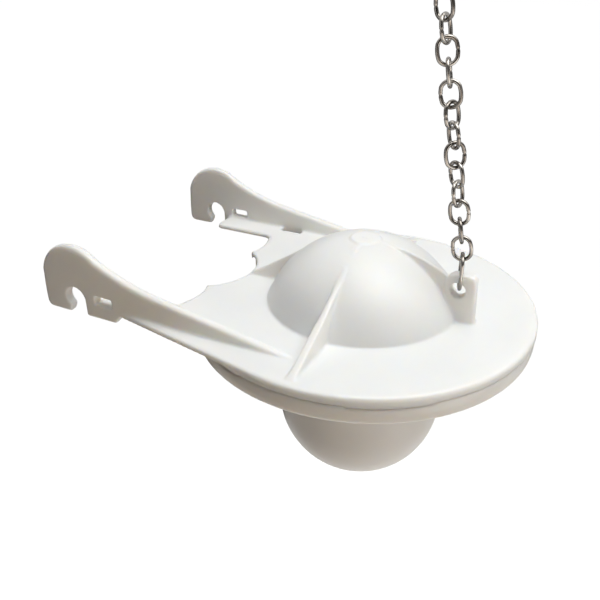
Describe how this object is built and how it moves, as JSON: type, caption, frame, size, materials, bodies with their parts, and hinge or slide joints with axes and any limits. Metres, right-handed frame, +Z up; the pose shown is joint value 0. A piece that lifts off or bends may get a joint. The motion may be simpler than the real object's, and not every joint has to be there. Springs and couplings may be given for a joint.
{
  "type": "toilet flapper",
  "caption": "Toilet flapper: a domed white disc with two hinge hooks, a soft seal, a hollow bulb below and a steel lift chain.",
  "frame": {"origin": "hinge axis, midway between the two hooks' pin seats", "axes": "+X from the hinge towards the chain lug, +Y along the hinge axis, +Z up from the disc"},
  "size_m": [0.1305, 0.095, 0.162],
  "materials": {
    "frame_plastic": "satin white moulding",
    "bulb_plastic": "satin white moulding",
    "seal_silicone": "soft, slightly translucent",
    "chain_steel": "bright drawn wire"
  },
  "bodies": {
    "flapper": {"frame": "frame_plastic", "seal": "seal_silicone", "bulb": "bulb_plastic"},
    "link_01": {"chain_link_01": "chain_steel"},
    "link_02": {"chain_link_02": "chain_steel"},
    "link_03": {"chain_link_03": "chain_steel"},
    "link_04": {"chain_link_04": "chain_steel"},
    "link_05": {"chain_link_05": "chain_steel"},
    "link_06": {"chain_link_06": "chain_steel"},
    "link_07": {"chain_link_07": "chain_steel"},
    "link_08": {"chain_link_08": "chain_steel"},
    "link_09": {"chain_link_09": "chain_steel"},
    "link_10": {"chain_link_10": "chain_steel"},
    "link_11": {"chain_link_11": "chain_steel"},
    "link_12": {"chain_link_12": "chain_steel"},
    "link_13": {"chain_link_13": "chain_steel"},
    "link_14": {"chain_link_14": "chain_steel"},
    "link_15": {"chain_link_15": "chain_steel"},
    "link_16": {"chain_link_16": "chain_steel"},
    "hook": {"lever_hook": "chain_steel"}
  },
  "joints": [
    {"name": "link_01_swing", "type": "hinge", "parent": "flapper", "child": "link_01", "pos_m": [0.0981, 0, 0.00842], "axis": [0, 1, 0], "range_deg": [-30, 100]},
    {"name": "link_02_swing", "type": "hinge", "parent": "link_01", "child": "link_02", "pos_m": [0.0981, 0, 0.01795], "axis": [0.2924, -0.9563, 0], "range_deg": [-65, 65]},
    {"name": "link_03_swing", "type": "hinge", "parent": "link_02", "child": "link_03", "pos_m": [0.09715, 0, 0.02267], "axis": [-0.9823, -0.0708, -0.1732], "range_deg": [-65, 65]},
    {"name": "link_04_swing", "type": "hinge", "parent": "link_03", "child": "link_04", "pos_m": [0.09632, 0, 0.02739], "axis": [-0.3323, 0.9414, -0.0586], "range_deg": [-65, 65]},
    {"name": "link_05_swing", "type": "hinge", "parent": "link_04", "child": "link_05", "pos_m": [0.09549, 0, 0.03212], "axis": [0.9848, 0, 0.1736], "range_deg": [-65, 65]},
    {"name": "link_06_swing", "type": "hinge", "parent": "link_05", "child": "link_06", "pos_m": [0.09465, 0, 0.03685], "axis": [-0.1852, -0.9822, -0.0326], "range_deg": [-65, 65]},
    {"name": "link_07_swing", "type": "hinge", "parent": "link_06", "child": "link_07", "pos_m": [0.09382, 0, 0.04158], "axis": [-0.7925, 0.5937, -0.1397], "range_deg": [-65, 65]},
    {"name": "link_08_swing", "type": "hinge", "parent": "link_07", "child": "link_08", "pos_m": [0.09299, 0, 0.0463], "axis": [0.7821, 0.6077, 0.1379], "range_deg": [-65, 65]},
    {"name": "link_09_swing", "type": "hinge", "parent": "link_08", "child": "link_09", "pos_m": [0.09215, 0, 0.05103], "axis": [0.691, -0.7125, 0.1218], "range_deg": [-65, 65]},
    {"name": "link_10_swing", "type": "hinge", "parent": "link_09", "child": "link_10", "pos_m": [0.09132, 0, 0.05576], "axis": [-0.3798, -0.9226, -0.067], "range_deg": [-65, 65]},
    {"name": "link_11_swing", "type": "hinge", "parent": "link_10", "child": "link_11", "pos_m": [0.09049, 0, 0.06048], "axis": [-0.9749, -0.1413, -0.1719], "range_deg": [-65, 65]},
    {"name": "link_12_swing", "type": "hinge", "parent": "link_11", "child": "link_12", "pos_m": [0.08965, 0, 0.06521], "axis": [-0.1852, 0.9822, -0.0326], "range_deg": [-65, 65]},
    {"name": "link_13_swing", "type": "hinge", "parent": "link_12", "child": "link_13", "pos_m": [0.08882, 0, 0.06994], "axis": [0.8747, 0.4595, 0.1542], "range_deg": [-65, 65]},
    {"name": "link_14_swing", "type": "hinge", "parent": "link_13", "child": "link_14", "pos_m": [0.08798, 0, 0.07466], "axis": [-0.135, -0.9906, -0.0238], "range_deg": [-65, 65]},
    {"name": "link_15_swing", "type": "hinge", "parent": "link_14", "child": "link_15", "pos_m": [0.08715, 0, 0.07939], "axis": [-0.9176, 0.3632, -0.1618], "range_deg": [-65, 65]},
    {"name": "link_16_swing", "type": "hinge", "parent": "link_15", "child": "link_16", "pos_m": [0.08632, 0, 0.08412], "axis": [0.3323, 0.9414, 0.0586], "range_deg": [-65, 65]},
    {"name": "hook_swing", "type": "hinge", "parent": "link_16", "child": "hook", "pos_m": [0.08548, 0, 0.08885], "axis": [0.9503, -0.2625, 0.1676], "range_deg": [-65, 65]}
  ]
}
